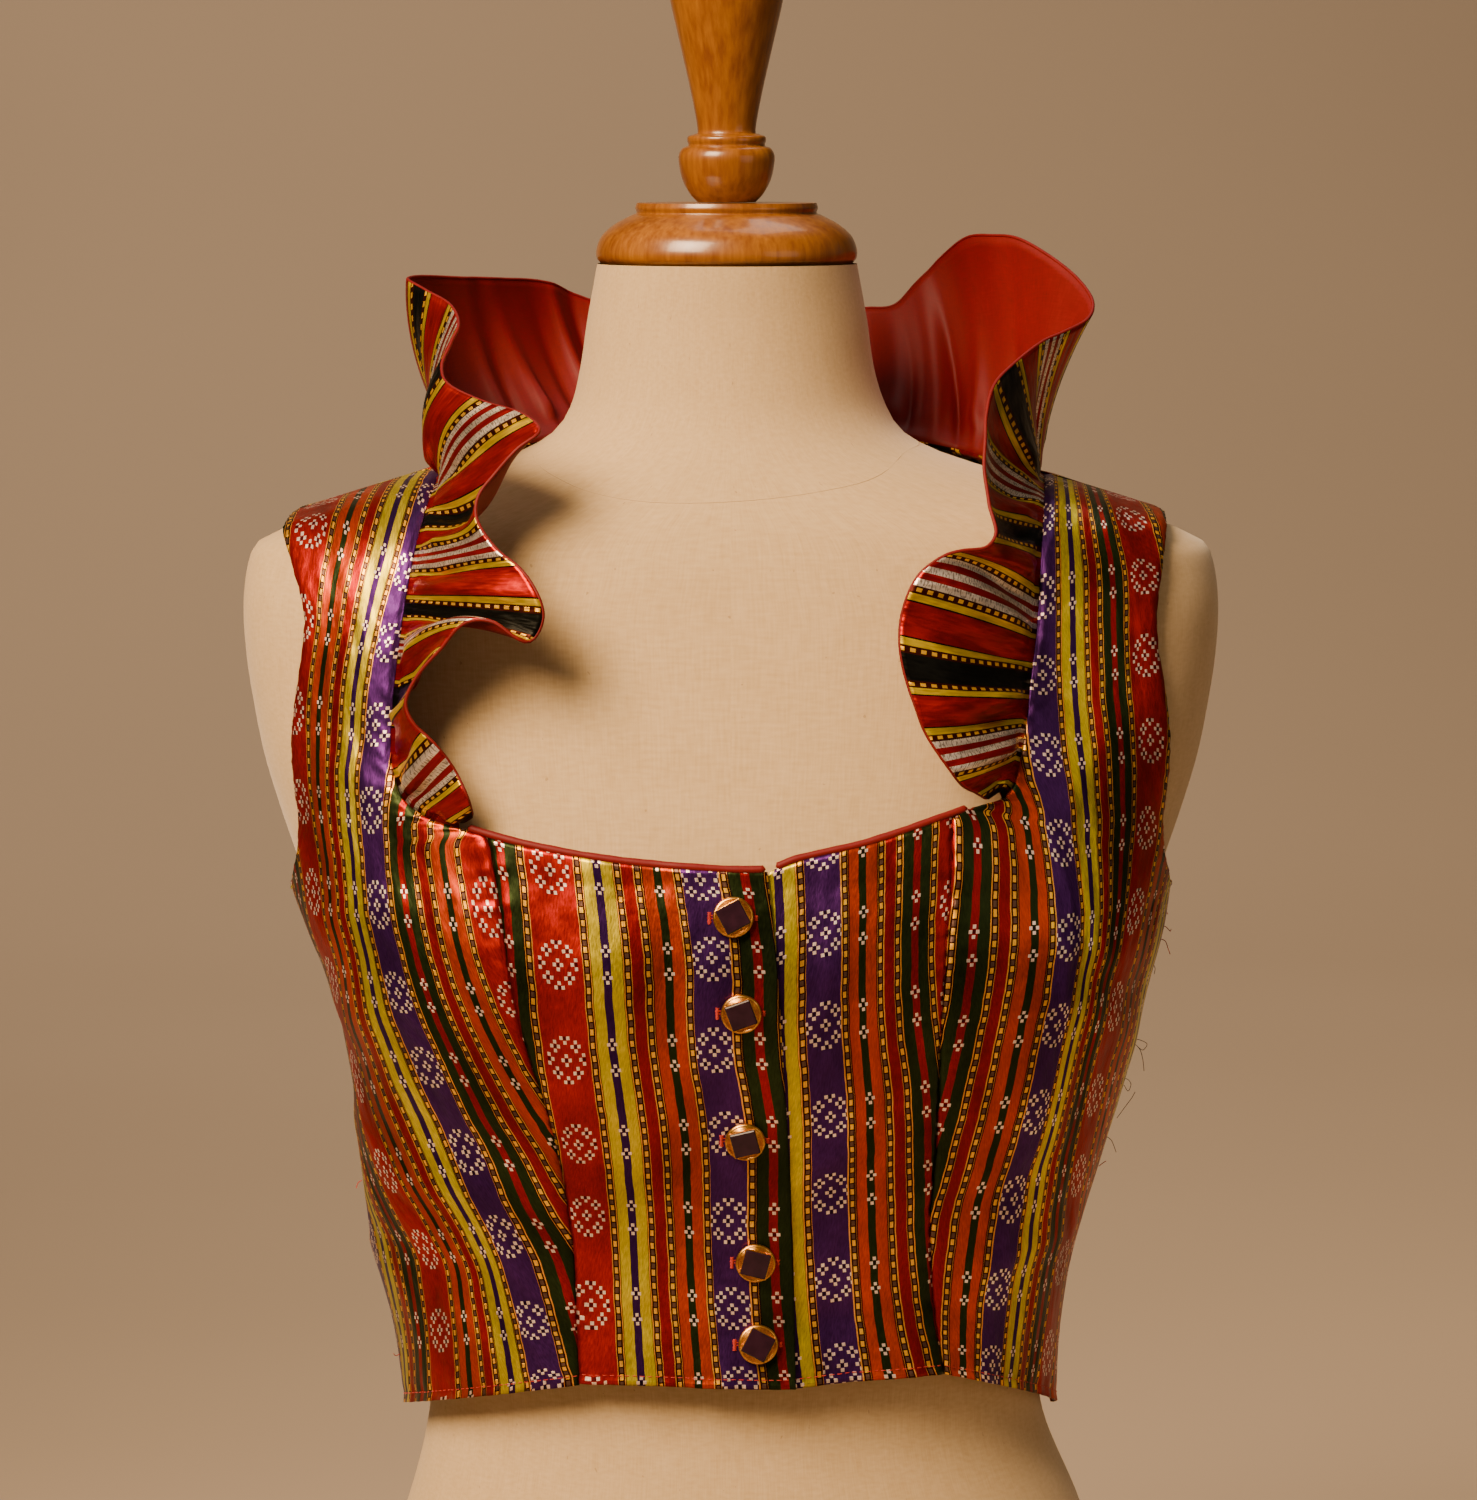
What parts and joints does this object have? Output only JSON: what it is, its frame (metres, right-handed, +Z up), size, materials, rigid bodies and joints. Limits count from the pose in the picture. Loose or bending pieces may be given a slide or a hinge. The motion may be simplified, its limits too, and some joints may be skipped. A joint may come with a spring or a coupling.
{
  "type": "folk vest on dress form",
  "caption": "Sleeveless fitted vest with a standing gathered collar ruffle, lapped and buttoned down the front, worn on a limbless table-top dress form.",
  "frame": {"origin": "middle of the whole piece seen from above, on the surface that the base stands on", "axes": "+Z up, the front of the vest faces -Y, the wearer's left is at +X"},
  "size_m": [0.388, 0.2657, 0.849],
  "materials": {
    "striped_satin": "satin weave, lengthwise stripes of red, purple, yellow, orange and green with woven flower rosettes",
    "striped_ribbon_satin": "satin weave, crosswise stripes of black, red, white and yellow",
    "red_satin": "plain satin",
    "cream_jersey": "fine rib knit",
    "varnished_wood": "honey varnish",
    "gilt_metal": "gilt, stamped ribs",
    "dark_stone": "polished"
  },
  "bodies": {
    "root": {"back": "striped_satin", "binding_left": "red_satin", "binding_right": "red_satin", "button_1_disc": "gilt_metal", "button_1_stone": "dark_stone", "button_2_disc": "gilt_metal", "button_2_stone": "dark_stone", "button_3_disc": "gilt_metal", "button_3_stone": "dark_stone", "button_4_disc": "gilt_metal", "button_4_stone": "dark_stone", "button_5_disc": "gilt_metal", "button_5_stone": "dark_stone", "dress_form": "cream_jersey", "finial": "varnished_wood", "front_left_centre": "striped_satin", "front_left_side": "striped_satin", "front_right_centre": "striped_satin", "front_right_side": "striped_satin", "neck_cap": "varnished_wood", "ruffle_lining": "red_satin", "ruffle_shell": "striped_ribbon_satin", "stand_base": "varnished_wood"}
  },
  "joints": []
}
